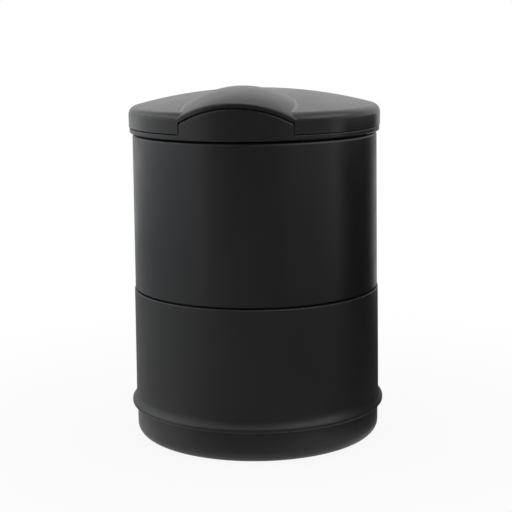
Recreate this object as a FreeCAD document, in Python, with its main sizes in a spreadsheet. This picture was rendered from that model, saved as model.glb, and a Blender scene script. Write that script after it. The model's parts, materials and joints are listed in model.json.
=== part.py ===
import FreeCAD, Part
import math
import os
import Sketcher

# A cup-holder ashtray: a body in a sleeve on a foot, closed by a collar with a hinged, hooded lid.
# The origin is the middle of the foot's underside, +Z is up and the hood faces -Y.

doc = FreeCAD.newDocument("car_ashtray")
sheet = doc.addObject("Spreadsheet::Sheet", "dims")

# Driving dimensions in millimetres, degrees and counts
DRIVING = (
    # Body
    ("body_radius", "36.1"),
    ("body_height", "45.9"),
    ("body_wall", "2.0"),
    ("body_floor", "2.0"),
    ("body_edge", "1.0"),
    ("body_draft", "0.3"),
    # Sleeve around the lower body
    ("sleeve_height", "35.2"),
    ("sleeve_step", "0.55"),
    ("sleeve_draft", "0.25"),
    ("sleeve_wall", "1.55"),
    ("sleeve_edge", "0.35"),
    ("lip_reach", "1.25"),
    ("lip_height", "1.1"),
    ("lip_flare", "1.4"),
    ("lip_edge", "0.4"),
    ("flare_round", "3.5"),
    ("seam_gap", "0.4"),
    ("slide_fit", "0.1"),
    # Foot
    ("foot_height", "9.3"),
    ("foot_inset", "0.2"),
    ("foot_floor", "2.0"),
    ("foot_edge", "3.0"),
    ("foot_rim_edge", "0.35"),
    ("foot_spigot_height", "2.7"),
    ("foot_spigot_wall", "1.5"),
    ("foot_gap", "0.2"),
    # Ash bowl
    ("bowl_wall", "0.6"),
    ("bowl_clearance", "0.4"),
    ("bowl_draft", "1.3"),
    ("bowl_rim", "1.2"),
    ("bowl_corner", "4.0"),
    ("bowl_headroom", "1.3"),
    # Collar
    ("collar_gap", "0.25"),
    ("band_overhang", "0.8"),
    ("band_height", "1.65"),
    ("band_edge", "0.4"),
    ("neck_inset", "4.8"),
    ("neck_wall", "1.8"),
    ("ledge_width", "2.0"),
    ("spigot_wall", "2.2"),
    ("spigot_clearance", "0.3"),
    ("spigot_tail", "1.2"),
    ("ring_section", "1.2"),
    ("ring_room", "0.1"),
    ("ring_drop", "1.4"),
    ("ring_land", "1.0"),
    # Bayonet
    ("lug_count", "3"),
    ("lug_angle", "14"),
    ("lug_height", "2.0"),
    ("lug_reach", "1.1"),
    ("lug_clearance", "0.3"),
    ("lug_play", "1.5"),
    ("twist_angle", "30"),
    # Lid
    ("lid_overhang", "0.2"),
    ("skirt_gap", "0.1"),
    ("skirt_height", "5.5"),
    ("skirt_wall", "1.5"),
    ("crown", "5.14"),
    ("lid_wall", "1.6"),
    ("rim_edge", "2.5"),
    ("seat_drop", "2.1"),
    ("seal_height", "1.3"),
    ("seal_gap", "0.3"),
    ("seal_margin", "0.1"),
    ("liner_thickness", "0.6"),
    ("liner_clearance", "0.3"),
    ("liner_overlap", "0.6"),
    # Liner screws
    ("screw_count", "3"),
    ("screw_start", "90"),
    ("screw_circle", "20.0"),
    ("screw_radius", "1.0"),
    ("screw_depth", "3.0"),
    ("screw_tip_room", "0.4"),
    ("screw_head_radius", "2.0"),
    ("screw_head_height", "1.1"),
    ("screw_fit", "0.05"),
    ("boss_wall", "1.4"),
    # Hood over the front of the lid
    ("hood_half_width", "16.8"),
    ("hood_rise", "7.1"),
    ("hood_peak", "21.6"),
    ("hood_side", "0.6"),
    ("hood_wall", "1.0"),
    ("arch_radius", "27.0"),
    ("ridge_radius", "33.0"),
    ("ridge_span", "50.0"),
    ("brow_reach", "0.15"),
    ("brow_edge", "0.7"),
    ("brow_drop", "1.9"),
    ("front_wall", "2.1"),
    ("front_gap", "0.3"),
    ("mouth_gap", "0.12"),
    ("arch_edge", "1.4"),
    # Hinge at the rear
    ("hinge_inset", "2.2"),
    ("knuckle_radius", "1.9"),
    ("knuckle_width", "2.8"),
    ("knuckle_clearance", "0.3"),
    ("web_root", "0.3"),
    ("ear_width", "2.8"),
    ("coil_room", "7.2"),
    ("pin_radius", "0.9"),
    ("pin_fit", "0.05"),
    ("pin_end", "0.3"),
    ("rear_cut", "27.0"),
    ("rear_wall", "1.8"),
    ("rear_gap", "0.5"),
    # Closing spring
    ("wire", "0.5"),
    ("coil_radius", "1.6"),
    ("coil_turns", "8.5"),
    ("coil_gap", "0.35"),
    ("spring_leg", "1.9"),
    # Cigarette rest
    ("rest_thickness", "0.8"),
    ("rest_width", "14.0"),
    ("rest_offset", "9.0"),
    ("rest_gap", "0.3"),
    ("trough_radius", "5.0"),
    ("rivet_inset", "1.3"),
    ("rivet_radius", "0.7"),
    ("rivet_head_radius", "1.2"),
    ("rivet_head_height", "0.6"),
    ("rivet_fit", "0.05"),
)

for row, (alias, text) in enumerate(DRIVING, start=1):
    sheet.set(f"A{row}", alias)
    sheet.set(f"B{row}", text)
    sheet.setAlias(f"B{row}", alias)
doc.recompute()


class Size:
    """A length, angle or count with its number and the sheet formula behind it."""

    def __init__(self, value, formula):
        self.value = float(value)
        self.formula = formula

    @staticmethod
    def of(other):
        if isinstance(other, Size):
            return other
        return Size(other, repr(float(other)))

    def combined(self, sign, other, value):
        return Size(value, f"({self.formula} {sign} {Size.of(other).formula})")

    def __add__(self, other):
        return self.combined("+", other, self.value + Size.of(other).value)

    def __sub__(self, other):
        return self.combined("-", other, self.value - Size.of(other).value)

    def __mul__(self, other):
        return self.combined("*", other, self.value * Size.of(other).value)

    def __truediv__(self, other):
        return self.combined("/", other, self.value / Size.of(other).value)

    def __neg__(self):
        return Size.of(0) - self

    def root(self):
        return Size(math.sqrt(self.value), f"sqrt({self.formula})")


class Dims:
    """Each alias of the sheet as a Size."""

    def __getattr__(self, alias):
        return Size(sheet.get(alias), f"dims.{alias}")


d = Dims()
ZERO = Size.of(0)
OVERCUT = Size.of(1.0)  # how far a cutting tool runs past the face that it leaves by
FULL_TURN = Size.of(360)
SAME_PLACE = 0.01  # how near an edge lies to a place where it is looked for
NEAR_MIDDLE = 0.1  # how near to the middle of the front an edge's own middle lies

# Heights, stacked from the floor up
foot_top = d.foot_height
sleeve_top = foot_top + d.sleeve_height
body_shoulder = sleeve_top + d.seam_gap
body_top = body_shoulder + d.body_height
band_bottom = body_top + d.collar_gap
band_top = band_bottom + d.band_height
skirt_bottom = band_top + d.skirt_gap
rim_height = skirt_bottom + d.skirt_height
seat_height = rim_height - d.seat_drop
neck_top = seat_height - d.seal_height - d.seal_gap
hinge_height = seat_height - d.knuckle_clearance - d.knuckle_radius
hinge_floor = hinge_height - d.knuckle_radius - d.knuckle_clearance
above_lid = rim_height + d.hood_rise + OVERCUT

# Radii, from the body outwards and inwards
body_bore = d.body_radius - d.body_wall
shoulder_radius = d.body_radius + d.body_draft
sleeve_radius = d.body_radius + d.sleeve_step
sleeve_foot_radius = sleeve_radius + d.sleeve_draft
sleeve_bore = sleeve_radius - d.sleeve_wall
lip_radius = sleeve_foot_radius + d.lip_reach
foot_radius = sleeve_foot_radius - d.foot_inset
lower_radius = sleeve_bore - d.slide_fit
lower_bore = lower_radius - d.body_wall
foot_bore = lower_radius - d.foot_spigot_wall
step_radius = foot_bore - d.slide_fit
step_bore = step_radius - d.body_wall
band_radius = d.body_radius + d.band_overhang
lid_radius = band_radius + d.lid_overhang
brow_radius = lid_radius + d.brow_reach
skirt_bore = lid_radius - d.skirt_wall
neck_radius = lid_radius - d.neck_inset
neck_bore = neck_radius - d.neck_wall
ledge_bore = neck_bore - d.ledge_width
spigot_radius = body_bore - d.spigot_clearance
spigot_bore = spigot_radius - d.spigot_wall
hinge_back = lid_radius - d.hinge_inset
seal_bore = neck_bore - d.seal_margin
liner_radius = seal_bore - d.liner_clearance
cavity_radius = liner_radius - d.liner_overlap
dome_radius = (lid_radius * lid_radius + d.crown * d.crown) / (d.crown * 2)
dome_centre = rim_height + d.crown - dome_radius


def make(kind, name):
    made = doc.addObject(kind, name)
    made.Label = name
    return made


def bind(made, sizes):
    for path, size in sizes.items():
        made.setExpression(path, Size.of(size).formula)
    return made


def place(made, x, y, z):
    return bind(made, {"Placement.Base.x": x, "Placement.Base.y": y, "Placement.Base.z": z})


def cylinder(name, radius, bottom, top, x=ZERO, y=ZERO):
    """An upright cylinder between two heights."""
    made = bind(make("Part::Cylinder", name), {"Radius": radius, "Height": top - bottom})
    return place(made, x, y, bottom)


def wedge(name, radius, bottom, top, start, angle):
    """A slice of an upright cylinder, from the start angle on."""
    made = cylinder(name, radius, bottom, top)
    made.Placement.Rotation = FreeCAD.Rotation(FreeCAD.Vector(0, 0, 1), start.value)
    return bind(made, {"Angle": angle, "Placement.Rotation.Angle": start})


def rod(name, radius, left, right, y, z):
    """A cylinder along X between two places."""
    made = bind(make("Part::Cylinder", name), {"Radius": radius, "Height": right - left})
    made.Placement.Rotation = FreeCAD.Rotation(FreeCAD.Vector(0, 1, 0), 90)
    return place(made, left, y, z)


def trough_rod(name, radius, front, back, z):
    """A cylinder along Y between two places."""
    made = bind(make("Part::Cylinder", name), {"Radius": radius, "Height": back - front})
    made.Placement.Rotation = FreeCAD.Rotation(FreeCAD.Vector(1, 0, 0), -90)
    return place(made, ZERO, front, z)


def box(name, left, right, front, back, bottom, top):
    made = make("Part::Box", name)
    bind(made, {"Length": right - left, "Width": back - front, "Height": top - bottom})
    return place(made, left, front, bottom)


def cut(name, base, tool):
    made = make("Part::Cut", name)
    made.Base = base
    made.Tool = tool
    return made


def fuse(name, *pieces):
    made = make("Part::MultiFuse", name)
    made.Shapes = list(pieces)
    made.Refine = True
    return made


def common(name, base, tool):
    made = make("Part::Common", name)
    made.Base = base
    made.Tool = tool
    return made


def upright_plane(body):
    return next(plane for plane in body.Origin.OriginFeatures if plane.Role == "XZ_Plane")


def new_sketch(body, name):
    """A sketch on the body's upright plane, across X and up Z."""
    sketch = body.newObject("Sketcher::SketchObject", name)
    sketch.AttachmentSupport = [(upright_plane(body), "")]
    sketch.MapMode = "FlatFace"
    return sketch


def pin_point(sketch, line, end, across, up):
    """Ties a point of a sketch to the sheet, on the sketch's axes where a coordinate is zero."""
    for kind, axis, size in (("DistanceX", -2, across), ("DistanceY", -1, up)):
        if size is None:
            continue
        if size is ZERO:
            sketch.addConstraint(Sketcher.Constraint("PointOnObject", line, end, axis))
            continue
        number = sketch.addConstraint(Sketcher.Constraint(kind, -1, 1, line, end, size.value))
        sketch.setExpression(f"Constraints[{number}]", size.formula)


def join_ends(sketch, count):
    for line in range(count):
        sketch.addConstraint(Sketcher.Constraint("Coincident", line, 2, (line + 1) % count, 1))


def straight(start, end):
    return Part.LineSegment(FreeCAD.Vector(*start, 0), FreeCAD.Vector(*end, 0))


def draw_outline(sketch, corners):
    """A closed outline of straight lines through corners that are tied to the sheet."""
    points = [(across.value, up.value) for across, up in corners]
    for start, end in zip(points, points[1:] + points[:1]):
        sketch.addGeometry(straight(start, end), False)
    join_ends(sketch, len(points))
    for line, (across, up) in enumerate(corners):
        pin_point(sketch, line, 1, across, up)


def bind_radius(sketch, arc, size):
    number = sketch.addConstraint(Sketcher.Constraint("Radius", arc, size.value))
    sketch.setExpression(f"Constraints[{number}]", size.formula)


def draw_dome(sketch, corners, centre, radius):
    """A closed outline whose last corner runs to the axis along an arc about a centre on it."""
    points = [(across.value, up.value) for across, up in corners]
    for start, end in zip(points, points[1:]):
        sketch.addGeometry(straight(start, end), False)
    edge = points[-1]
    apex = (0.0, centre.value + radius.value)
    circle = Part.Circle(FreeCAD.Vector(0, centre.value, 0), FreeCAD.Vector(0, 0, 1), radius.value)
    start_angle = math.atan2(edge[1] - centre.value, edge[0])
    arc = sketch.addGeometry(Part.ArcOfCircle(circle, start_angle, math.pi / 2), False)
    sketch.addGeometry(straight(apex, points[0]), False)
    join_ends(sketch, len(points) + 1)
    for line, (across, up) in enumerate(corners):
        pin_point(sketch, line, 1, across, up)
    sketch.addConstraint(Sketcher.Constraint("PointOnObject", arc, 3, -2))
    sketch.addConstraint(Sketcher.Constraint("PointOnObject", arc, 2, -2))
    bind_radius(sketch, arc, radius)


def draw_rounded_dome(sketch):
    """The lid's outside: floor, skirt, rounded rim and dome."""
    up = FreeCAD.Vector(0, 0, 1)
    rim_centre = FreeCAD.Vector(rim_centre_reach.value, rim_centre_height.value, 0)
    rim_circle = Part.Circle(rim_centre, up, d.rim_edge.value)
    dome_circle = Part.Circle(FreeCAD.Vector(0, dome_centre.value, 0), up, dome_radius.value)
    turn = math.atan2(rim_centre_height.value - dome_centre.value, rim_centre_reach.value)
    floor = skirt_bottom.value
    sketch.addGeometry(straight((0, floor), (lid_radius.value, floor)), False)
    skirt_top = rim_centre_height.value
    sketch.addGeometry(straight((lid_radius.value, floor), (lid_radius.value, skirt_top)), False)
    rim = sketch.addGeometry(Part.ArcOfCircle(rim_circle, 0, turn), False)
    top = sketch.addGeometry(Part.ArcOfCircle(dome_circle, turn, math.pi / 2), False)
    sketch.addGeometry(straight((0, dome_centre.value + dome_radius.value), (0, floor)), False)
    for first, second in ((0, 1), (3, 4), (4, 0)):
        sketch.addConstraint(Sketcher.Constraint("Coincident", first, 2, second, 1))
    for first, second in ((1, rim), (rim, top)):
        sketch.addConstraint(Sketcher.Constraint("Tangent", first, 2, second, 1))
    pin_point(sketch, 0, 1, ZERO, skirt_bottom)
    pin_point(sketch, 1, 1, lid_radius, skirt_bottom)
    pin_point(sketch, 1, 2, lid_radius, None)
    pin_point(sketch, top, 3, ZERO, dome_centre)
    pin_point(sketch, top, 2, ZERO, None)
    bind_radius(sketch, rim, d.rim_edge)
    bind_radius(sketch, top, dome_radius)


def new_body(name):
    body = make("PartDesign::Body", name)
    doc.recompute()
    return body


def revolve(body, sketch, axis="V_Axis"):
    turned = body.newObject("PartDesign::Revolution", body.Name + "_turned")
    turned.Profile = sketch
    turned.ReferenceAxis = (sketch, [axis])
    turned.Angle = FULL_TURN.value
    return turned


def turned_body(name, corners):
    """A body turned about Z from an outline of radii and heights."""
    body = new_body(name)
    sketch = new_sketch(body, name + "_outline")
    draw_outline(sketch, corners)
    revolve(body, sketch)
    doc.recompute()
    return body


def circle_edges(shape, rings):
    """The names of the edges of a shape that are circles about Z of these radii and heights."""
    names = []
    for number, edge in enumerate(shape.Edges, start=1):
        if edge.Degenerated or not isinstance(edge.Curve, Part.Circle):
            continue
        for radius, height in rings:
            same_radius = abs(edge.Curve.Radius - radius.value) < SAME_PLACE
            same_height = abs(edge.Curve.Center.z - height.value) < SAME_PLACE
            if same_radius and same_height:
                names.append(f"Edge{number}")
    return names


def round_rings(body, size, rings):
    """Rounds circular edges of a turned body."""
    edges = circle_edges(body.Shape, rings)
    if len(edges) != len(rings):
        raise RuntimeError(f"{body.Name}: {len(edges)} edges found to round, not {len(rings)}")
    unrounded = body.Tip
    fillet = body.newObject("PartDesign::Fillet", body.Name + "_round")
    fillet.Base = (unrounded, edges)
    bind(fillet, {"Radius": size})
    doc.recompute()


def round_front(name, base, radius, size):
    """Rounds the highest edge that a piece has in the middle of its front, at this radius."""
    doc.recompute()
    heights = {}
    for number, edge in enumerate(base.Shape.Edges, start=1):
        if edge.Degenerated:
            continue
        middle = edge.valueAt((edge.FirstParameter + edge.LastParameter) / 2)
        if abs(middle.x) < NEAR_MIDDLE and abs(middle.y + radius.value) < SAME_PLACE:
            heights[middle.z] = number
    made = make("Part::Fillet", name)
    made.Base = base
    made.Edges = [(heights[max(heights)], size.value, size.value)]
    return made


def copies(count):
    """The turn of each of several even copies about Z, in degrees."""
    number = round(count.value)
    return [FULL_TURN / count * step for step in range(number)]


# Foot: a rubber cap with a low spigot that centres the sleeve and carries the body
spigot_top = foot_top + d.foot_spigot_height
base_foot = turned_body("base_foot", [
    (ZERO, ZERO),
    (foot_radius, ZERO),
    (foot_radius, foot_top),
    (lower_radius, foot_top),
    (lower_radius, spigot_top),
    (foot_bore, spigot_top),
    (foot_bore, d.foot_floor),
    (ZERO, d.foot_floor),
])
round_rings(base_foot, d.foot_edge, [(foot_radius, ZERO)])
round_rings(base_foot, d.foot_rim_edge, [(foot_radius, foot_top)])

# Sleeve: a drafted tube whose lower end flares to a thin lip
lip_top = foot_top + d.lip_height
lower_sleeve = turned_body("lower_sleeve", [
    (sleeve_bore, foot_top),
    (lip_radius, foot_top),
    (lip_radius, lip_top),
    (sleeve_foot_radius, lip_top + d.lip_flare),
    (sleeve_radius, sleeve_top),
    (sleeve_bore, sleeve_top),
])
round_rings(lower_sleeve, d.lip_edge, [(lip_radius, foot_top), (lip_radius, lip_top)])
round_rings(lower_sleeve, d.flare_round, [(sleeve_foot_radius, lip_top + d.lip_flare)])
round_rings(lower_sleeve, d.sleeve_edge, [(sleeve_radius, sleeve_top)])

# Body: a deep cup that steps in to stand in the sleeve and again to stand in the foot
body_bottom = d.foot_floor + d.foot_gap
bowl_floor = body_bottom + d.body_floor
body_cup = turned_body("body_cup", [
    (ZERO, body_bottom),
    (step_radius, body_bottom),
    (step_radius, spigot_top),
    (lower_radius, spigot_top),
    (lower_radius, body_shoulder),
    (shoulder_radius, body_shoulder),
    (d.body_radius, body_top),
    (body_bore, body_top),
    (body_bore, body_shoulder + d.body_wall),
    (lower_bore, body_shoulder + d.body_wall),
    (lower_bore, spigot_top + d.body_wall),
    (step_bore, spigot_top + d.body_wall),
    (step_bore, bowl_floor),
    (ZERO, bowl_floor),
])
round_rings(body_cup, d.body_edge, [(d.body_radius, body_top)])
round_rings(body_cup, d.sleeve_edge, [(shoulder_radius, body_shoulder)])

# Bayonet places, down from the collar's underside
ring_top = band_bottom - d.ring_drop
ring_bottom = ring_top - d.ring_section - d.ring_room * 2
lug_top = ring_bottom - d.ring_land
lug_bottom = lug_top - d.lug_height
spigot_bottom = lug_bottom - d.spigot_tail
lug_radius = spigot_radius + d.lug_reach
slot_radius = lug_radius + d.lug_clearance
slot_angle = d.lug_angle + d.lug_play * 2

# Bayonet slots: each lug turns along a run and leaves by a channel at its end
slots = []
for index, turn in enumerate(copies(d.lug_count)):
    start = turn - slot_angle / 2
    run_floor = lug_bottom - d.lug_clearance
    run_roof = lug_top + d.lug_clearance
    run_angle = slot_angle + d.twist_angle
    entry_start = start + d.twist_angle
    entry_top = body_top + OVERCUT
    slots.append(wedge(f"slot_run_{index}", slot_radius, run_floor, run_roof, start, run_angle))
    slots.append(wedge(f"slot_entry_{index}", slot_radius, run_floor, entry_top, entry_start, slot_angle))
upper_body = cut("upper_body", body_cup, fuse("bayonet_slots", *slots))

# Ash bowl: a drawn metal cup with a flat rim that stands on the body's floor
bowl_top = spigot_bottom - d.bowl_headroom
bowl_foot_radius = step_bore - d.bowl_clearance
bowl_mouth_radius = bowl_foot_radius + d.bowl_draft
ash_bowl = turned_body("ash_bowl", [
    (ZERO, bowl_floor),
    (bowl_foot_radius, bowl_floor),
    (bowl_mouth_radius, bowl_top - d.bowl_wall),
    (bowl_mouth_radius + d.bowl_rim, bowl_top - d.bowl_wall),
    (bowl_mouth_radius + d.bowl_rim, bowl_top),
    (bowl_mouth_radius - d.bowl_wall, bowl_top),
    (bowl_foot_radius - d.bowl_wall, bowl_floor + d.bowl_wall),
    (ZERO, bowl_floor + d.bowl_wall),
])
round_rings(ash_bowl, d.bowl_corner + d.bowl_wall, [(bowl_foot_radius, bowl_floor)])
round_rings(ash_bowl, d.bowl_corner, [(bowl_foot_radius - d.bowl_wall, bowl_floor + d.bowl_wall)])

# Hood blocks: an arch turned about an axis along X, at several depths under the hood's outside
ridge_axis = rim_height + d.hood_rise - d.ridge_radius
mouth_half_width = d.hood_half_width - d.hood_side


def hood_block(name, inset, half_width):
    body = new_body(name)
    sketch = new_sketch(body, name + "_arch")
    sketch.AttachmentOffset = FreeCAD.Placement(
        FreeCAD.Vector(0, ridge_axis.value, d.hood_peak.value), FreeCAD.Rotation()
    )
    bind(sketch, {"AttachmentOffset.Base.y": ridge_axis, "AttachmentOffset.Base.z": d.hood_peak})
    centre = d.ridge_radius - d.arch_radius
    radius = d.arch_radius - inset
    floor = band_bottom - ridge_axis - d.hood_rise
    reach = half_width.value
    shoulder = centre.value + math.sqrt(radius.value ** 2 - reach ** 2)
    circle = Part.Circle(FreeCAD.Vector(0, centre.value, 0), FreeCAD.Vector(0, 0, 1), radius.value)
    start_angle = math.atan2(shoulder - centre.value, reach)
    arc = sketch.addGeometry(Part.ArcOfCircle(circle, start_angle, math.pi - start_angle), False)
    sketch.addGeometry(straight((-reach, shoulder), (-reach, floor.value)), False)
    sketch.addGeometry(straight((-reach, floor.value), (reach, floor.value)), False)
    sketch.addGeometry(straight((reach, floor.value), (reach, shoulder)), False)
    join_ends(sketch, 4)
    pin_point(sketch, arc, 3, ZERO, centre)
    bind_radius(sketch, arc, radius)
    pin_point(sketch, arc, 1, half_width, None)
    pin_point(sketch, arc, 2, -half_width, None)
    pin_point(sketch, 2, 1, -half_width, floor)
    pin_point(sketch, 2, 2, half_width, floor)
    turned = revolve(body, sketch, "H_Axis")
    turned.Midplane = True
    bind(turned, {"Angle": d.ridge_span * 2})
    doc.recompute()
    return body


# Lid: a dome with a skirt, a hood trimmed to the lid's round and a hollow underside
rim_centre_reach = lid_radius - d.rim_edge
rim_from_dome = dome_radius - d.rim_edge
rim_drop = (rim_from_dome * rim_from_dome - rim_centre_reach * rim_centre_reach).root()
rim_centre_height = dome_centre + rim_drop
dome = new_body("lid_dome")
dome_sketch = new_sketch(dome, "lid_dome_outline")
draw_rounded_dome(dome_sketch)
revolve(dome, dome_sketch)
doc.recompute()
hood = common(
    "hood_trimmed",
    hood_block("hood_outside", ZERO, d.hood_half_width),
    cylinder("hood_trim", brow_radius, rim_height - d.brow_drop, above_lid),
)
lid_block = fuse("lid_block", dome, hood)

# Hollow under the dome, with a flat seat for the seal
hollow = new_body("lid_hollow")
hollow_sketch = new_sketch(hollow, "lid_hollow_outline")
hollow_radius = dome_radius - d.lid_wall
hollow_shoulder = dome_centre + (hollow_radius * hollow_radius - cavity_radius * cavity_radius).root()
draw_dome(
    hollow_sketch,
    [
        (ZERO, skirt_bottom - OVERCUT),
        (skirt_bore, skirt_bottom - OVERCUT),
        (skirt_bore, seat_height),
        (cavity_radius, seat_height),
        (cavity_radius, hollow_shoulder),
    ],
    dome_centre,
    hollow_radius,
)
revolve(hollow, hollow_sketch)

# Vault under the hood, and the slot in front of it for the collar's arched wall
front_wall_bore = band_radius - d.front_wall
slot_bore = front_wall_bore - d.front_gap
vault = common(
    "hood_vault",
    hood_block("vault_block", d.hood_wall, mouth_half_width),
    cylinder("vault_trim", slot_bore, rim_height, above_lid),
)
front_slot = common(
    "front_slot",
    hood_block("slot_block", d.hood_wall, mouth_half_width),
    cut(
        "slot_ring",
        cylinder("slot_ring_outside", lid_radius + OVERCUT, skirt_bottom - OVERCUT, above_lid),
        cylinder("slot_ring_bore", slot_bore, skirt_bottom - OVERCUT * 2, above_lid + OVERCUT),
    ),
)
rear_opening = box(
    "rear_opening",
    -lid_radius - OVERCUT,
    lid_radius + OVERCUT,
    d.rear_cut,
    lid_radius + OVERCUT,
    skirt_bottom - OVERCUT,
    seat_height,
)
square_shell = cut("square_shell", lid_block, fuse("lid_cuts", hollow, vault, front_slot, rear_opening))
lid_shell = round_front("lid_shell", square_shell, brow_radius, d.brow_edge)

# Hinge places along X: the coil in the middle, then a lid knuckle and a collar ear on each side
knuckle_start = d.coil_room / 2
knuckle_end = knuckle_start + d.knuckle_width
ear_start = knuckle_end + d.knuckle_clearance
ear_end = ear_start + d.ear_width
knuckle_front = hinge_back - d.knuckle_radius
web_back = hinge_back + d.knuckle_radius / 2

knuckles = []
for side, start, end in (("left", -knuckle_end, -knuckle_start), ("right", knuckle_start, knuckle_end)):
    knuckles.append(rod(f"knuckle_{side}", d.knuckle_radius, start, end, hinge_back, hinge_height))
    web_top = seat_height + d.web_root
    knuckles.append(box(f"knuckle_web_{side}", start, end, knuckle_front, web_back, hinge_height, web_top))

# Screw bosses under the dome
boss_radius = d.screw_radius + d.screw_fit + d.boss_wall
bosses = []
pilot_holes = []
screw_places = []
for turn in copies(d.screw_count):
    angle = math.radians(turn.value + d.screw_start.value)
    screw_places.append((d.screw_circle * math.cos(angle), d.screw_circle * math.sin(angle)))
for index, (x, y) in enumerate(screw_places):
    bosses.append(cylinder(f"boss_{index}", boss_radius, seat_height, above_lid, x, y))
    pilot_top = seat_height + d.screw_depth + d.screw_tip_room
    pilot_radius = d.screw_radius + d.screw_fit
    pilot_holes.append(cylinder(f"pilot_{index}", pilot_radius, seat_height - OVERCUT, pilot_top, x, y))
boss_posts = common("boss_posts", fuse("boss_rods", *bosses), dome)
knuckle_bore = rod(
    "knuckle_bore", d.pin_radius + d.pin_fit, -ear_end, ear_end, hinge_back, hinge_height
)
lid_cover = cut(
    "lid_cover",
    fuse("lid_with_hinge", lid_shell, boss_posts, *knuckles),
    fuse("lid_holes", knuckle_bore, *pilot_holes),
)

# Liner: a metal disc on the bosses, with a hole for each screw
liner_bottom = seat_height - d.liner_thickness
liner_holes = []
for index, (x, y) in enumerate(screw_places):
    hole_radius = d.screw_radius + d.screw_fit
    hole_top = seat_height + OVERCUT
    liner_holes.append(cylinder(f"liner_hole_{index}", hole_radius, liner_bottom - OVERCUT, hole_top, x, y))
lid_liner = cut(
    "lid_liner",
    cylinder("liner_disc", liner_radius, liner_bottom, seat_height),
    fuse("liner_hole_group", *liner_holes),
)

# Liner screws: a flat head under the liner and a shank up into each boss
screws = []
for index, (x, y) in enumerate(screw_places):
    head_bottom = liner_bottom - d.screw_head_height
    head = cylinder(f"screw_head_{index}", d.screw_head_radius, head_bottom, liner_bottom, x, y)
    shank = cylinder(f"screw_shank_{index}", d.screw_radius, head_bottom, seat_height + d.screw_depth, x, y)
    screws.append(fuse(f"screw_{index}", head, shank))
liner_screws = make("Part::Compound", "liner_screws")
liner_screws.Links = screws

# Lid seal: a rubber ring on the seat, above the neck
lid_seal = turned_body("lid_seal", [
    (seal_bore, seat_height - d.seal_height),
    (neck_radius - d.seal_margin, seat_height - d.seal_height),
    (neck_radius - d.seal_margin, seat_height),
    (seal_bore, seat_height),
])

# Collar: a band with a neck above it and a spigot with a ring groove below it
groove_radius = spigot_radius + d.ring_room - d.ring_section
collar_turned = turned_body("collar_turned", [
    (spigot_bore, spigot_bottom),
    (spigot_radius, spigot_bottom),
    (spigot_radius, ring_bottom),
    (groove_radius, ring_bottom),
    (groove_radius, ring_top),
    (spigot_radius, ring_top),
    (spigot_radius, band_bottom),
    (band_radius, band_bottom),
    (band_radius, band_top),
    (neck_radius, band_top),
    (neck_radius, neck_top),
    (neck_bore, neck_top),
    (neck_bore, band_top),
    (ledge_bore, band_top),
    (ledge_bore, band_bottom),
    (spigot_bore, band_bottom),
])
round_rings(collar_turned, d.band_edge, [(band_radius, band_bottom), (band_radius, band_top)])

# Arched wall on the front of the band, just inside the lid's slot
wall_root = band_top - d.band_height / 2
square_arch = common(
    "square_arch",
    hood_block("arch_block", d.hood_wall + d.front_gap, mouth_half_width - d.mouth_gap),
    cut(
        "arch_ring",
        cylinder("arch_ring_outside", band_radius, wall_root, above_lid),
        cylinder("arch_ring_bore", front_wall_bore, wall_root - OVERCUT, above_lid + OVERCUT),
    ),
)
front_arch = round_front("front_arch", square_arch, band_radius, d.arch_edge)

# Raised wall on the rear of the band, where the lid has no skirt
rear_wall_top = seat_height - d.rear_gap
rear_arc = common(
    "rear_arc",
    cut(
        "rear_ring",
        cylinder("rear_ring_outside", band_radius, wall_root, rear_wall_top),
        cylinder("rear_ring_bore", band_radius - d.rear_wall, wall_root - OVERCUT, rear_wall_top + OVERCUT),
    ),
    box(
        "rear_half",
        -lid_radius,
        lid_radius,
        d.rear_cut + d.knuckle_clearance,
        lid_radius,
        wall_root - OVERCUT,
        rear_wall_top + OVERCUT,
    ),
)

# Bayonet lugs on the spigot
lugs = []
for index, turn in enumerate(copies(d.lug_count)):
    slice_name = f"lug_slice_{index}"
    lugs.append(wedge(slice_name, lug_radius, lug_bottom, lug_top, turn - d.lug_angle / 2, d.lug_angle))
lug_bore = cylinder(
    "lug_bore", spigot_radius - d.spigot_wall / 2, lug_bottom - OVERCUT, lug_top + OVERCUT
)
lug_ring = cut("lug_ring", fuse("lug_slices", *lugs), lug_bore)

# Hinge gap in the rear wall, and the ears that carry the pin
hinge_gap = box(
    "hinge_gap",
    -ear_end - d.knuckle_clearance,
    ear_end + d.knuckle_clearance,
    knuckle_front - d.knuckle_clearance,
    lid_radius + OVERCUT,
    hinge_floor,
    rear_wall_top + OVERCUT,
)
ears = []
for side, start, end in (("left", -ear_end, -ear_start), ("right", ear_start, ear_end)):
    ears.append(rod(f"ear_{side}", d.knuckle_radius, start, end, hinge_back, hinge_height))
    ear_root = hinge_floor - d.web_root
    ears.append(box(f"ear_web_{side}", start, end, knuckle_front, hinge_back, ear_root, hinge_height))
ear_bore = rod("ear_bore", d.pin_radius + d.pin_fit, -ear_end, ear_end, hinge_back, hinge_height)

# Rivet holes in the ledge, under the ends of the cigarette rest
rest_radius = neck_bore - d.rest_gap
rivet_circle = rest_radius - d.rivet_inset
rivet_reach = (rivet_circle * rivet_circle - d.rest_offset * d.rest_offset).root()
rest_top = band_top + d.rest_thickness
rivet_places = [(-rivet_reach, d.rest_offset), (rivet_reach, d.rest_offset)]


def rivet_rods(name, radius, bottom, top):
    rods = []
    for index, (x, y) in enumerate(rivet_places):
        rods.append(cylinder(f"{name}_{index}", radius, bottom, top, x, y))
    return fuse(name, *rods)


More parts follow.
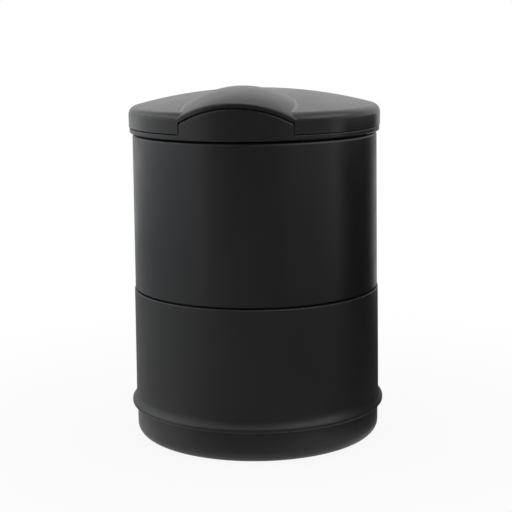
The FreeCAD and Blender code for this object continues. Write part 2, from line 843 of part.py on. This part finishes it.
rivet_hole = d.rivet_radius + d.rivet_fit
collar_walls = fuse("collar_walls", collar_turned, front_arch, rear_arc, lug_ring)
collar_block = cut("collar_block", collar_walls, hinge_gap)
collar_ring = cut(
    "collar_ring",
    fuse("collar_with_ears", collar_block, *ears),
    fuse(
        "collar_holes",
        ear_bore,
        rivet_rods("ledge_rivet_holes", rivet_hole, band_bottom - OVERCUT, rest_top + OVERCUT),
    ),
)

# Collar seal: a rubber ring in the spigot's groove
collar_seal = make("Part::Torus", "collar_seal")
ring_radius = groove_radius + d.ring_room / 2 + d.ring_section / 2
bind(collar_seal, {"Radius1": ring_radius, "Radius2": d.ring_section / 2})
place(collar_seal, ZERO, ZERO, (ring_top + ring_bottom) / 2)

# Cigarette rest: a strap across the mouth with a trough pressed into its middle
rest_front = d.rest_offset - d.rest_width / 2
rest_back = d.rest_offset + d.rest_width / 2
trough_outside = d.trough_radius + d.rest_thickness
strap = box("rest_strap", -rest_radius, rest_radius, rest_front, rest_back, band_top, rest_top)
trough = common(
    "trough",
    trough_rod("trough_rod", trough_outside, rest_front, rest_back, band_top),
    box(
        "trough_half",
        -trough_outside,
        trough_outside,
        rest_front,
        rest_back,
        band_top - trough_outside,
        rest_top,
    ),
)
rest_blank = cut(
    "rest_blank",
    fuse("rest_pressing", strap, trough),
    trough_rod("trough_inside", d.trough_radius, rest_front - OVERCUT, rest_back + OVERCUT, band_top),
)
cigarette_rest = cut(
    "cigarette_rest",
    common(
        "rest_trimmed",
        rest_blank,
        cylinder("rest_outline", rest_radius, band_top - trough_outside - OVERCUT, rest_top + OVERCUT),
    ),
    rivet_rods("rest_rivet_holes", rivet_hole, band_bottom - OVERCUT, rest_top + OVERCUT),
)

# Rest rivets: a head on the strap, a shank through the ledge and a tail below it
rivets = []
for index, (x, y) in enumerate(rivet_places):
    head_top = rest_top + d.rivet_head_height
    tail_bottom = band_bottom - d.rivet_head_height
    shank = cylinder(f"rivet_shank_{index}", d.rivet_radius, tail_bottom, head_top, x, y)
    head = cylinder(f"rivet_head_{index}", d.rivet_head_radius, rest_top, head_top, x, y)
    tail = cylinder(f"rivet_tail_{index}", d.rivet_head_radius, tail_bottom, band_bottom, x, y)
    rivets.append(fuse(f"rivet_{index}", shank, head, tail))
rest_rivets = make("Part::Compound", "rest_rivets")
rest_rivets.Links = rivets

# Hinge pin, through both ears and both knuckles
pin_half_length = ear_end + d.pin_end
hinge_pin = rod("hinge_pin", d.pin_radius, -pin_half_length, pin_half_length, hinge_back, hinge_height)

# Closing spring: a coil about the pin, with one leg on the collar and one under the lid
coil_length = d.coil_room - d.coil_gap * 2 - d.wire
hinge_spring = new_body("hinge_spring")


def wire_section(name, across, up):
    sketch = new_sketch(hinge_spring, name)
    middle = FreeCAD.Vector(across.value, up.value, 0)
    ring = sketch.addGeometry(Part.Circle(middle, FreeCAD.Vector(0, 0, 1), d.wire.value / 2), False)
    pin_point(sketch, ring, 3, across, up)
    bind_radius(sketch, ring, d.wire / 2)
    return sketch


coil_section = wire_section("coil_section", d.coil_radius, ZERO)
doc.recompute()
coil = hinge_spring.newObject("PartDesign::AdditiveHelix", "coil")
coil.Profile = coil_section
coil.ReferenceAxis = (coil_section, ["V_Axis"])
coil.Mode = "height-turns-angle"
coil.LeftHanded = True
bind(coil, {"Height": coil_length, "Turns": d.coil_turns})
doc.recompute()
for name, across, up in (("collar_leg", d.coil_radius, ZERO), ("lid_leg", -d.coil_radius, coil_length)):
    leg = hinge_spring.newObject("PartDesign::Pad", name)
    leg.Profile = wire_section(name + "_section", across, up)
    leg.Reversed = True
    bind(leg, {"Length": d.spring_leg})
    doc.recompute()
hinge_spring.Placement.Rotation = FreeCAD.Rotation(FreeCAD.Vector(0, 1, 0), 90)
place(hinge_spring, -coil_length / 2, hinge_back, hinge_height)

doc.recompute()

NODES = (
    base_foot,
    lower_sleeve,
    upper_body,
    ash_bowl,
    collar_ring,
    collar_seal,
    cigarette_rest,
    rest_rivets,
    hinge_pin,
    hinge_spring,
    lid_cover,
    lid_liner,
    liner_screws,
    lid_seal,
)

failed = [made.Name for made in doc.Objects if "Invalid" in made.State or "Error" in made.State]
if failed:
    raise RuntimeError(f"these objects failed: {failed}")
for node in NODES:
    if node.Shape.isNull() or not node.Shape.isValid():
        raise RuntimeError(f"{node.Label} has no valid shape")

os.makedirs("parts", exist_ok=True)
for node in NODES:
    node.Shape.exportStep(f"parts/{node.Label}.step")
    print(node.Label, "solids", len(node.Shape.Solids), "volume", round(node.Shape.Volume, 1))
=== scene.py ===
# %% [markdown]
# # A car ashtray with a hooded lid
# This lesson dresses a finished mechanical model. The solids of the ashtray already exist: a rubber
# foot, a lower sleeve, a body, a collar that twists off and a sprung lid. Here they are loaded as a
# fixed frame, and then each surface gets the finish of the real thing. Everything is in metres.

# %% Load the solids and keep their box
import json
import math

import bmesh
import bpy
from mathutils import Matrix, Vector


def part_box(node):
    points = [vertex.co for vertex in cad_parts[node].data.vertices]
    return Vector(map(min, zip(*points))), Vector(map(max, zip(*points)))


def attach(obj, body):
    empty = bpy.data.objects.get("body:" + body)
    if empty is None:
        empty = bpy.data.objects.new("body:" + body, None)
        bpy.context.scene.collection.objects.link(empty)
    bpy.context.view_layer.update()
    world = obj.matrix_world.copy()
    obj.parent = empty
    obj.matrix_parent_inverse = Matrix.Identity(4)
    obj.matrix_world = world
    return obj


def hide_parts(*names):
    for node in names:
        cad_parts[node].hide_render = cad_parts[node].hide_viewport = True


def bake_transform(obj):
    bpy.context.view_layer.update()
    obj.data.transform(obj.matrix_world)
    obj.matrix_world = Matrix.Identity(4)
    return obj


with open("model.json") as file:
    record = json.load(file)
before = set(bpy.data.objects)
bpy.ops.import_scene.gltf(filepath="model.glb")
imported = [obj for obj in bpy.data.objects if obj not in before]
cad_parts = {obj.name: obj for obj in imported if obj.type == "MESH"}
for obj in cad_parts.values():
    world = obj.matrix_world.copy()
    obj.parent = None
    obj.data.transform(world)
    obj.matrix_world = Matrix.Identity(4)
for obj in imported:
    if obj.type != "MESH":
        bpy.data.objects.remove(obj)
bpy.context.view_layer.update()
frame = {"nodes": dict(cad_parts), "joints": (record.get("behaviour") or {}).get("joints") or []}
scene = bpy.context.scene
MM = 0.001
WELD = 0.001 * MM
print("solids loaded:", sorted(frame["nodes"]))

# %% [markdown]
# ## Finishes
# Nearly all of the ashtray is black moulded plastic. Moulds for such parts are spark-eroded, which
# leaves a very fine matt grain, so a plain black colour would look like paint. Each finish below is a
# node tree that reads Object coordinates, so that the grain keeps its real size in millimetres.

# %% Helpers that every finish uses
# Nearly all of the noise lies between these two values.
NOISE_LOW, NOISE_HIGH = 0.3, 0.7


def new_finish(name):
    """A fresh material, with its shader and a source of Object coordinates."""
    finish = bpy.data.materials.new(name)
    finish.use_nodes = True
    tree = finish.node_tree
    shader = tree.nodes["Principled BSDF"]
    coordinates = tree.nodes.new("ShaderNodeTexCoord")
    return finish, tree, shader, coordinates.outputs["Object"]


def grain(tree, place, size, detail=2.0):
    """Noise whose blotches are about size metres across."""
    noise = tree.nodes.new("ShaderNodeTexNoise")
    noise.inputs["Scale"].default_value = 1.0 / size
    noise.inputs["Detail"].default_value = detail
    tree.links.new(place, noise.inputs["Vector"])
    return noise.outputs["Fac"]


def spread(tree, value, low, high):
    """The noise value, moved into the range from low to high."""
    ranged = tree.nodes.new("ShaderNodeMapRange")
    ranged.inputs["From Min"].default_value = NOISE_LOW
    ranged.inputs["From Max"].default_value = NOISE_HIGH
    ranged.inputs["To Min"].default_value = low
    ranged.inputs["To Max"].default_value = high
    tree.links.new(value, ranged.inputs["Value"])
    return ranged.outputs["Result"]


def two_tones(tree, value, dark, light):
    """A colour between two tones, chosen by the noise value."""
    ramp = tree.nodes.new("ShaderNodeValToRGB")
    ramp.color_ramp.elements[0].position = NOISE_LOW
    ramp.color_ramp.elements[1].position = NOISE_HIGH
    ramp.color_ramp.elements[0].color = (*dark, 1.0)
    ramp.color_ramp.elements[1].color = (*light, 1.0)
    tree.links.new(value, ramp.inputs["Fac"])
    return ramp.outputs["Color"]


def relief(tree, shader, value, depth):
    """A bump of that depth in metres on the shader's normal."""
    bump = tree.nodes.new("ShaderNodeBump")
    bump.inputs["Strength"].default_value = 1.0
    bump.inputs["Distance"].default_value = depth
    tree.links.new(value, bump.inputs["Height"])
    tree.links.new(bump.outputs["Normal"], shader.inputs["Normal"])


# %% [markdown]
# ## Black plastic and rubber
# The satin plastic has a fine grain, a slow change of gloss where the mould ran hotter or cooler, and
# a hardly visible change of tone. The rubber foot is the same idea with a duller, coarser surface.

# %% Make the black finishes
CLOUD_SIZE = 18 * MM
FLOW_SIZE = 7 * MM
DARKER, LIGHTER = 0.9, 1.1


def moulded_black(name, tone, gloss, grain_size, grain_depth, shine):
    """Grained plastic or rubber. Gloss is the range of the roughness."""
    finish, tree, shader, place = new_finish(name)
    cloudy = grain(tree, place, CLOUD_SIZE)
    darker = [c * DARKER for c in tone]
    lighter = [c * LIGHTER for c in tone]
    tree.links.new(two_tones(tree, cloudy, darker, lighter), shader.inputs["Base Color"])
    flow = grain(tree, place, FLOW_SIZE)
    tree.links.new(spread(tree, flow, *gloss), shader.inputs["Roughness"])
    relief(tree, shader, grain(tree, place, grain_size, 1.0), grain_depth)
    shader.inputs["Specular IOR Level"].default_value = shine
    return finish


body_black = moulded_black(
    "body_satin_black",
    tone=(0.0085, 0.0086, 0.0088),
    gloss=(0.34, 0.40),
    grain_size=0.22 * MM,
    grain_depth=0.0012 * MM,
    shine=0.45,
)
sleeve_black = moulded_black(
    "sleeve_matt_black",
    tone=(0.0095, 0.0097, 0.0093),
    gloss=(0.44, 0.50),
    grain_size=0.25 * MM,
    grain_depth=0.0016 * MM,
    shine=0.45,
)
lid_black = moulded_black(
    "lid_satin_black",
    tone=(0.0110, 0.0111, 0.0112),
    gloss=(0.26, 0.31),
    grain_size=0.22 * MM,
    grain_depth=0.0012 * MM,
    shine=0.38,
)
wiped_black = moulded_black(
    "lid_wiped_black",
    tone=(0.0110, 0.0111, 0.0112),
    gloss=(0.22, 0.27),
    grain_size=0.22 * MM,
    grain_depth=0.0012 * MM,
    shine=0.66,
)
foot_black = moulded_black(
    "foot_rubber_black",
    tone=(0.0100, 0.0100, 0.0098),
    gloss=(0.44, 0.50),
    grain_size=0.35 * MM,
    grain_depth=0.0030 * MM,
    shine=0.42,
)
seal_black = moulded_black(
    "seal_rubber_black",
    tone=(0.0075, 0.0075, 0.0077),
    gloss=(0.50, 0.58),
    grain_size=0.20 * MM,
    grain_depth=0.0020 * MM,
    shine=0.4,
)
print("black finishes:", [m.name for m in bpy.data.materials if m.name.endswith("black")])

# %% [markdown]
# ## Steel
# The inner bowl, the cigarette rest and the lid's liner are pressed from sheet steel. Rolling leaves
# fine parallel streaks, which stretched noise gives: it is squeezed across the streaks and pulled
# along them. The hinge pin, the rivets, the screws and the spring are drawn wire, which is brighter.

# %% Make the steel finishes
STREAK_SHADE = 0.86


def streaked_steel(name, tone, gloss, streak, stretch, depth):
    """Steel with streaks, stretched along the axis whose share of stretch is small."""
    finish, tree, shader, place = new_finish(name)
    pulled = tree.nodes.new("ShaderNodeMapping")
    pulled.inputs["Scale"].default_value = stretch
    tree.links.new(place, pulled.inputs["Vector"])
    streaks = grain(tree, pulled.outputs["Vector"], streak, 3.0)
    darker = [c * STREAK_SHADE for c in tone]
    tree.links.new(two_tones(tree, streaks, darker, tone), shader.inputs["Base Color"])
    tree.links.new(spread(tree, streaks, *gloss), shader.inputs["Roughness"])
    relief(tree, shader, streaks, depth)
    shader.inputs["Metallic"].default_value = 1.0
    return finish


sheet_steel = streaked_steel(
    "sheet_steel",
    tone=(0.56, 0.555, 0.54),
    gloss=(0.24, 0.38),
    streak=0.4 * MM,
    stretch=(1.0, 0.05, 1.0),
    depth=0.002 * MM,
)
wire_steel = streaked_steel(
    "wire_steel",
    tone=(0.62, 0.61, 0.60),
    gloss=(0.18, 0.28),
    streak=0.3 * MM,
    stretch=(0.1, 1.0, 1.0),
    depth=0.001 * MM,
)
print("steel finishes:", sheet_steel.name, wire_steel.name)

# %% Put the finishes on the solids
FINISHES = {
    "base_foot": foot_black,
    "lower_sleeve": sleeve_black,
    "upper_body": body_black,
    "collar_ring": body_black,
    "lid_cover": lid_black,
    "collar_seal": seal_black,
    "lid_seal": seal_black,
    "ash_bowl": sheet_steel,
    "cigarette_rest": sheet_steel,
    "lid_liner": sheet_steel,
    "rest_rivets": wire_steel,
    "hinge_pin": wire_steel,
    "liner_screws": wire_steel,
}
for name, finish in FINISHES.items():
    frame["nodes"][name].material_slots[0].material = finish
print("dressed:", len(FINISHES), "solids")

# %% [markdown]
# ## The closing spring
# A torsion spring on the hinge pin pushes the lid shut. One leg lies on the collar and the other under
# the lid, so as the lid opens the coil winds up. A ring of wire is spun about the pin and moved a
# little along it at each step, which makes the coil, and the ends are extruded straight for the legs.

# %% Wind the spring
spring_low, spring_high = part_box("hinge_spring")
WIRE = 0.5 * MM
COIL_RADIUS = 1.6 * MM
COIL_TURNS = 8.5
STEPS_A_TURN = 28
WIRE_SIDES = 12
hinge = Vector(next(j for j in frame["joints"] if j["name"] == "lid_hinge")["pos_m"])
coil_start = spring_low.x + WIRE / 2
coil_end = spring_high.x - WIRE / 2
leg_length = spring_high.y - hinge.y

bm = bmesh.new()
first_ring = bmesh.ops.create_circle(bm, segments=WIRE_SIDES, radius=WIRE / 2)["verts"]
# The ring stands across the wire where the coil starts, at the bottom of the coil.
bmesh.ops.rotate(bm, verts=first_ring, cent=(0, 0, 0), matrix=Matrix.Rotation(math.pi / 2, 3, "X"))
bmesh.ops.translate(bm, verts=first_ring, vec=(coil_start, hinge.y, hinge.z - COIL_RADIUS))
steps = round(COIL_TURNS * STEPS_A_TURN)
first_edges = list(bm.edges)
wound = bmesh.ops.spin(
    bm,
    geom=first_edges,
    cent=hinge,
    axis=(1, 0, 0),
    dvec=((coil_end - coil_start) / steps, 0, 0),
    angle=-COIL_TURNS * 2 * math.pi,
    steps=steps,
)
last_edges = [g for g in wound["geom_last"] if isinstance(g, bmesh.types.BMEdge)]
for edges in (first_edges, last_edges):
    leg = bmesh.ops.extrude_edge_only(bm, edges=edges)["geom"]
    tip = [g for g in leg if isinstance(g, bmesh.types.BMVert)]
    bmesh.ops.translate(bm, verts=tip, vec=(0, leg_length, 0))
    bmesh.ops.contextual_create(bm, geom=[g for g in leg if isinstance(g, bmesh.types.BMEdge)])
bmesh.ops.remove_doubles(bm, verts=bm.verts, dist=WELD)
bmesh.ops.recalc_face_normals(bm, faces=bm.faces)
for face in bm.faces:
    face.smooth = len(face.verts) == 4
spring_mesh = bpy.data.meshes.new("closing_spring")
bm.to_mesh(spring_mesh)
bm.free()
spring_mesh.materials.append(wire_steel)
spring = bpy.data.objects.new("closing_spring", spring_mesh)
scene.collection.objects.link(spring)
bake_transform(spring)
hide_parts("hinge_spring")
print("spring: x", coil_start, coil_end, "leg", leg_length)

# %% [markdown]
# ## The crease around the hood
# On a moulded lid the hood doesn't meet the dome in a sharp line, because the cutter that made the
# mould had a round nose. A ball that rolls along the crease touches the lid and the hood at once, and
# its skin between the two contacts is the hollow fillet that such a cutter leaves. So the ball's place
# is found at each step along the crease, and a flat grid is laid over its skin: one way along the
# crease, the other across it. Both long edges of the grid sink to one line inside the lid, so that
# the strip closes to a solid bead. Wiping polishes it a little more than the rest of the lid.

# %% Roll the fillet round the hood
RIDGE_RADIUS = 33.0 * MM
ARCH_RADIUS = 27.0 * MM
RIDGE_AXIS = Vector((0.0, -21.6, 72.4)) * MM
TUBE_REACH = RIDGE_RADIUS - ARCH_RADIUS
DOME_RADIUS = 136.46 * MM
DOME_CENTRE = Vector((0.0, 0.0, -33.02)) * MM
RIM_RADIUS = 2.5 * MM
RIM_REACH = 34.6 * MM
RIM_HEIGHT = 96.39 * MM
BALL = 2.0 * MM
NEAREST, FURTHEST = 4 * MM, 24 * MM
HALVINGS = 40
FILLET_TURN = math.radians(124)
ALONG_STEPS = 120
ARC_STEPS = 8
ACROSS_STEPS = ARC_STEPS + 2
SINK = 0.5 * MM
FOLD = math.radians(40)
UP = Vector((0.0, 0.0, 1.0))


def hood_height(x, y, out):
    """The height of the hood's outside, moved out by that much, or none where it has ended."""
    ring = TUBE_REACH + math.sqrt((ARCH_RADIUS + out) ** 2 - x ** 2)
    rest = ring ** 2 - (y - RIDGE_AXIS.y) ** 2
    return RIDGE_AXIS.z + math.sqrt(rest) if rest > 0 else None


def lid_touch(centre):
    """The point of the round lid nearest to the ball's centre."""
    outwards = Vector((centre.x, centre.y, 0.0)).normalized()
    rim = outwards * RIM_REACH + UP * RIM_HEIGHT
    over_rim = (centre - DOME_CENTRE).angle(UP) > (rim - DOME_CENTRE).angle(UP)
    heart, radius = (rim, RIM_RADIUS) if over_rim else (DOME_CENTRE, DOME_RADIUS)
    return heart + (centre - heart).normalized() * radius


def hood_touch(centre):
    """The point of the hood's outside nearest to the ball's centre."""
    across = Vector((0.0, centre.y - RIDGE_AXIS.y, centre.z - RIDGE_AXIS.z))
    tube = RIDGE_AXIS + across.normalized() * TUBE_REACH
    return tube + (centre - tube).normalized() * ARCH_RADIUS


def ball_place(turn):
    """The centre of the ball that touches both, in that direction from the hood's middle."""
    near, far = NEAREST, FURTHEST
    for _ in range(HALVINGS):
        reach = (near + far) / 2
        x = reach * math.sin(turn)
        y = RIDGE_AXIS.y + reach * math.cos(turn)
        height = hood_height(x, y, BALL)
        centre = Vector((x, y, height or 0.0))
        clear = height and height > RIM_HEIGHT and (centre - lid_touch(centre)).length > BALL
        near, far = (reach, far) if clear else (near, reach)
    return centre


def fillet_section(turn):
    """The fillet's arc from the lid to the hood, between two copies of a point sunk below the crease."""
    centre = ball_place(turn)
    lid_way = (lid_touch(centre) - centre).normalized()
    hood_way = (hood_touch(centre) - centre).normalized()
    opening = lid_way.angle(hood_way)
    deep = (lid_way + hood_way).normalized()
    sunk = centre + deep * (BALL / math.cos(opening / 2) + SINK)
    points = [sunk]
    for step in range(ARC_STEPS + 1):
        share = step / ARC_STEPS
        way = lid_way * math.sin((1 - share) * opening) + hood_way * math.sin(share * opening)
        points.append(centre + way.normalized() * BALL)
    return points + [sunk]


bm = bmesh.new()
bmesh.ops.create_grid(bm, x_segments=ALONG_STEPS, y_segments=ACROSS_STEPS, size=1.0)
sections = {}
for vert in bm.verts:
    along = round(vert.co.x, 6)
    across = round((vert.co.y + 1) / 2 * ACROSS_STEPS)
    if along not in sections:
        sections[along] = fillet_section(FILLET_TURN * along)
    vert.co = sections[along][across]
bmesh.ops.remove_doubles(bm, verts=bm.verts, dist=WELD)
bmesh.ops.holes_fill(bm, edges=bm.edges)
bmesh.ops.recalc_face_normals(bm, faces=bm.faces)
for face in bm.faces:
    face.smooth = True
for edge in bm.edges:
    edge.smooth = edge.calc_face_angle(0.0) < FOLD
fillet_mesh = bpy.data.meshes.new("hood_fillet")
bm.to_mesh(fillet_mesh)
bm.free()
fillet_mesh.materials.append(wiped_black)
fillet = bpy.data.objects.new("hood_fillet", fillet_mesh)
scene.collection.objects.link(fillet)
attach(fillet, "lid")
print("fillet:", len(fillet_mesh.vertices), "points in", len(sections), "sections")

# %% [markdown]
# ## Floor, cards and light
# The picture to match is a studio shot on white. A black part shows little but what it reflects, so a
# photographer shapes the room around it: white paper below and behind, a large soft window on the
# left, grey and black cards that keep the front and the right dark, and brighter ones above that give
# the rim and the hood their highlights. The floor and the world are white to the camera and in
# reflections, and the floor still takes the soft shadow. The cards are seen in reflections only, so
# they never stand in the picture.

# %% Build the floor and the cards
def flat_card(name, width, height, place, aim):
    """A rectangle that stands at place and faces aim."""
    bm = bmesh.new()
    bmesh.ops.create_grid(bm, x_segments=1, y_segments=1, size=0.5)
    bmesh.ops.scale(bm, vec=(width, height, 1.0), verts=bm.verts)
    facing = (Vector(aim) - Vector(place)).to_track_quat("Z", "Y").to_matrix()
    bmesh.ops.rotate(bm, cent=(0, 0, 0), matrix=facing, verts=bm.verts)
    bmesh.ops.translate(bm, vec=place, verts=bm.verts)
    mesh = bpy.data.meshes.new(name)
    bm.to_mesh(mesh)
    bm.free()
    card = bpy.data.objects.new(name, mesh)
    scene.collection.objects.link(card)
    return card


def seen_white(tree, share):
    """How much of the white shows: share of it to the camera and in reflections, none elsewhere."""
    path = tree.nodes.new("ShaderNodeLightPath")
    total = None
    for ray in ("Is Camera Ray", "Is Glossy Ray", "Is Transmission Ray"):
        if total is None:
            total = path.outputs[ray]
            continue
        either = tree.nodes.new("ShaderNodeMath")
        either.operation = "MAXIMUM"
        tree.links.new(total, either.inputs[0])
        tree.links.new(path.outputs[ray], either.inputs[1])
        total = either.outputs[0]
    scaled = tree.nodes.new("ShaderNodeMath")
    scaled.operation = "MULTIPLY"
    tree.links.new(total, scaled.inputs[0])
    if isinstance(share, bpy.types.NodeSocket):
        tree.links.new(share, scaled.inputs[1])
    else:
        scaled.inputs[1].default_value = share
    return scaled.outputs[0]


FLOOR_SIZE = 6.0
FLOOR_WHITE = 0.90
SHADOW_REACH = 0.20
floor = flat_card("floor", FLOOR_SIZE, FLOOR_SIZE, (0, 0, 0), (0, 0, 1))
floor_paper = bpy.data.materials.new("floor_paper")
floor_paper.use_nodes = True
tree = floor_paper.node_tree
paper = tree.nodes["Principled BSDF"]
paper.inputs["Base Color"].default_value = (0.9, 0.9, 0.9, 1.0)
paper.inputs["Roughness"].default_value = 0.9
paper.inputs["Specular IOR Level"].default_value = 0.1
glow = tree.nodes.new("ShaderNodeEmission")
both = tree.nodes.new("ShaderNodeMixShader")
# Close to the part the paper shows its shadow, and further out it is plain white.
place = tree.nodes.new("ShaderNodeTexCoord")
away = tree.nodes.new("ShaderNodeVectorMath")
away.operation = "LENGTH"
tree.links.new(place.outputs["Object"], away.inputs[0])
fade = tree.nodes.new("ShaderNodeMapRange")
fade.interpolation_type = "SMOOTHSTEP"
fade.inputs["From Max"].default_value = SHADOW_REACH
fade.inputs["To Min"].default_value = FLOOR_WHITE
tree.links.new(away.outputs["Value"], fade.inputs["Value"])
tree.links.new(seen_white(tree, fade.outputs["Result"]), both.inputs["Fac"])
tree.links.new(paper.outputs["BSDF"], both.inputs[1])
tree.links.new(glow.outputs["Emission"], both.inputs[2])
tree.links.new(both.outputs["Shader"], tree.nodes["Material Output"].inputs["Surface"])
floor.data.materials.append(floor_paper)


def reflection_card(name, width, height, place, aim, brightness, tint=(1.0, 1.0, 1.0)):
    """A card of that brightness and tint that only reflections see."""
    card = flat_card(name, width, height, place, aim)
    skin = bpy.data.materials.new(name)
    skin.use_nodes = True
    tree = skin.node_tree
    tree.nodes.remove(tree.nodes["Principled BSDF"])
    face = tree.nodes.new("ShaderNodeEmission")
    face.inputs["Color"].default_value = (*tint, 1.0)
    face.inputs["Strength"].default_value = brightness
    tree.links.new(face.outputs["Emission"], tree.nodes["Material Output"].inputs["Surface"])
    card.data.materials.append(skin)
    card.visible_camera = False
    card.visible_diffuse = False
    card.visible_shadow = False
    card.visible_transmission = False
    return card


LID_POINT = (0.0, 0.0, 0.097)
BODY_POINT = (0.0, 0.0, 0.0901)
# Dark and grey cards that stand upright around the part.
reflection_card("card_front", 0.50, 0.18, (0.02, -0.30, 0.0901), BODY_POINT, 0.19)
reflection_card("card_front_high", 0.24, 0.20, (0.02, -0.30, 0.2801), (0.0, 0.0, 0.2801), 0.20)
reflection_card("card_front_right", 0.34, 0.18, (0.26, -0.20, 0.0901), BODY_POINT, 0.37)
reflection_card("card_right", 0.105, 0.094, (0.078, 0.0325, 0.0471), (-0.1, 0.0325, 0.0471), 0.02)
reflection_card("card_back", 1.60, 0.28, (0.0, 0.80, 0.1401), (0.0, 0.0, 0.1401), 0.75)
# Bright cards that hang above it.
reflection_card("glow_left", 0.45, 0.16, (-0.55, 0.10, 0.31), LID_POINT, 1.7)
reflection_card("glow_right", 0.50, 0.50, (0.455, -0.165, 0.53), LID_POINT, 1.6)
reflection_card("glow_back", 1.20, 0.35, (0.0, 0.594, 0.632), LID_POINT, 1.5)


def floor_card(name, width, depth, place, brightness, tint=(1.0, 1.0, 1.0)):
    """A reflection card that lies on the floor and faces up."""
    x, y, _ = place
    return reflection_card(name, width, depth, place, (x, y, 1.0), brightness, tint)


# The front one lies under the others, where they overlap.
LOWER, UPPER = 0.0003, 0.0004
SKY_TINT = (0.88, 1.0, 1.15)
floor_card("card_low_left", 0.20, 0.6, (-0.15, 0.0, UPPER), 0.50)
floor_card("card_far_left", 0.40, 0.6, (-0.45, 0.0, UPPER), 0.27, SKY_TINT)
floor_card("card_low_front", 0.60, 0.308, (0.10, -0.196, LOWER), 0.37)
floor_card("card_low_right", 0.31, 0.4, (0.195, 0.0, UPPER), 0.12)

# %% Light the world
ROOM_GREY = 0.4
world = bpy.data.worlds.new("studio")
world.use_nodes = True
scene.world = world
tree = world.node_tree
room = tree.nodes["Background"]
room.inputs["Color"].default_value = (ROOM_GREY, ROOM_GREY, ROOM_GREY, 1.0)
white = tree.nodes.new("ShaderNodeBackground")
white.inputs["Color"].default_value = (1.0, 1.0, 1.0, 1.0)
mixed = tree.nodes.new("ShaderNodeMixShader")
tree.links.new(seen_white(tree, 1.0), mixed.inputs["Fac"])
tree.links.new(room.outputs["Background"], mixed.inputs[1])
tree.links.new(white.outputs["Background"], mixed.inputs[2])
tree.links.new(mixed.outputs["Shader"], tree.nodes["World Output"].inputs["Surface"])


# %% Hang the lights
def soft_light(name, place, aim, width, height, radiance, tint=(1.0, 1.0, 1.0)):
    """A rectangular light that faces aim. Its power follows from the brightness of its face."""
    lamp = bpy.data.lights.new(name, "AREA")
    lamp.shape = "RECTANGLE"
    lamp.size = width
    lamp.size_y = height
    lamp.energy = radiance * math.pi * width * height
    lamp.color = tint
    holder = bpy.data.objects.new(name, lamp)
    holder.location = place
    holder.rotation_euler = (Vector(aim) - Vector(place)).to_track_quat("-Z", "Y").to_euler()
    holder.visible_camera = False
    scene.collection.objects.link(holder)
    return holder


MIDDLE = (0.0, 0.0, 0.055)
WINDOW_TINT = (0.75, 1.0, 1.28)
soft_light("window_left", (-0.62, 0.0, 0.08), (0.0, 0.0, 0.08), 0.8, 0.28, 0.26, WINDOW_TINT)
soft_light("lamp_left", (-0.52, -0.05, 0.42), MIDDLE, 0.5, 0.24, 1.2)
soft_light("lamp_right", (0.52, -0.05, 0.40), MIDDLE, 0.5, 0.22, 1.2)
soft_light("panel_overhead", (0.0, 0.1, 0.75), MIDDLE, 0.5, 0.4, 1.2)

# %% [markdown]
# ## The camera
# The picture was taken from a little above and slightly to the right, with a long lens.

# %% Place the camera
VIEW_AZIMUTH = math.radians(8.8)
VIEW_DISTANCE = 403.4 * MM
VIEW_HEIGHT = 127.0 * MM
VIEW_PITCH = math.radians(10.39)
VIEW_ROLL = math.radians(-0.7)
FOCAL_PIXELS = 1359.0
PICTURE_PIXELS = 512
SENSOR_WIDTH = 36.0
lens = bpy.data.cameras.new("camera")
lens.sensor_width = SENSOR_WIDTH
lens.lens = FOCAL_PIXELS / PICTURE_PIXELS * SENSOR_WIDTH
lens.clip_start = 0.01
camera = bpy.data.objects.new("camera", lens)
camera.rotation_mode = "XYZ"
turn = Matrix.Rotation(VIEW_AZIMUTH, 4, "Z") @ Matrix.Rotation(math.pi / 2 - VIEW_PITCH, 4, "X")
turn = turn @ Matrix.Rotation(VIEW_ROLL, 4, "Z")
spot = Vector((math.sin(VIEW_AZIMUTH), -math.cos(VIEW_AZIMUTH), 0)) * VIEW_DISTANCE
spot.z = VIEW_HEIGHT
camera.matrix_world = Matrix.Translation(spot) @ turn
scene.collection.objects.link(camera)
scene.camera = camera
scene.view_settings.view_transform = "Standard"
print("camera at", [round(c, 4) for c in spot])
